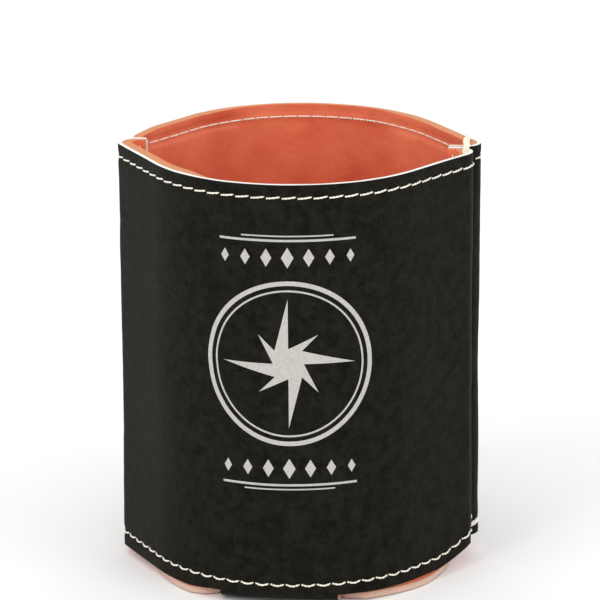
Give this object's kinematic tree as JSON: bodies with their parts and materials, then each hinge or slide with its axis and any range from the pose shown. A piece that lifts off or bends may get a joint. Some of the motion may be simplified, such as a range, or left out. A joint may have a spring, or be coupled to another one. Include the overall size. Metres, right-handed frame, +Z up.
{
  "type": "leatherette beverage holder",
  "caption": "Soft folding holder for a drink can: two stitched leatherette panels and a round base folded from one sheet, with a coral lining.",
  "frame": {"origin": "on the floor under the middle of the holder", "axes": "+Z up, front panel towards -Y, side seams on the X axis"},
  "size_m": [0.0808, 0.0722, 0.0965],
  "materials": {
    "black_leatherette": "fine-grained matt leatherette, white at its cut edges",
    "coral_lining": "smooth soft foam-backed lining",
    "ivory_thread": "thick twisted sewing thread"
  },
  "bodies": {
    "root": {"leatherette_shell": "black_leatherette", "lining": "coral_lining", "front_top_stitching": "ivory_thread", "front_bottom_stitching": "ivory_thread", "back_top_stitching": "ivory_thread", "back_bottom_stitching": "ivory_thread", "front_top_bobbin_thread": "ivory_thread", "front_bottom_bobbin_thread": "ivory_thread", "back_top_bobbin_thread": "ivory_thread", "back_bottom_bobbin_thread": "ivory_thread", "right_seam_thread": "ivory_thread", "left_seam_thread": "ivory_thread", "right_top_tack": "ivory_thread", "right_bottom_tack": "ivory_thread", "left_bottom_tack": "ivory_thread"}
  },
  "joints": []
}
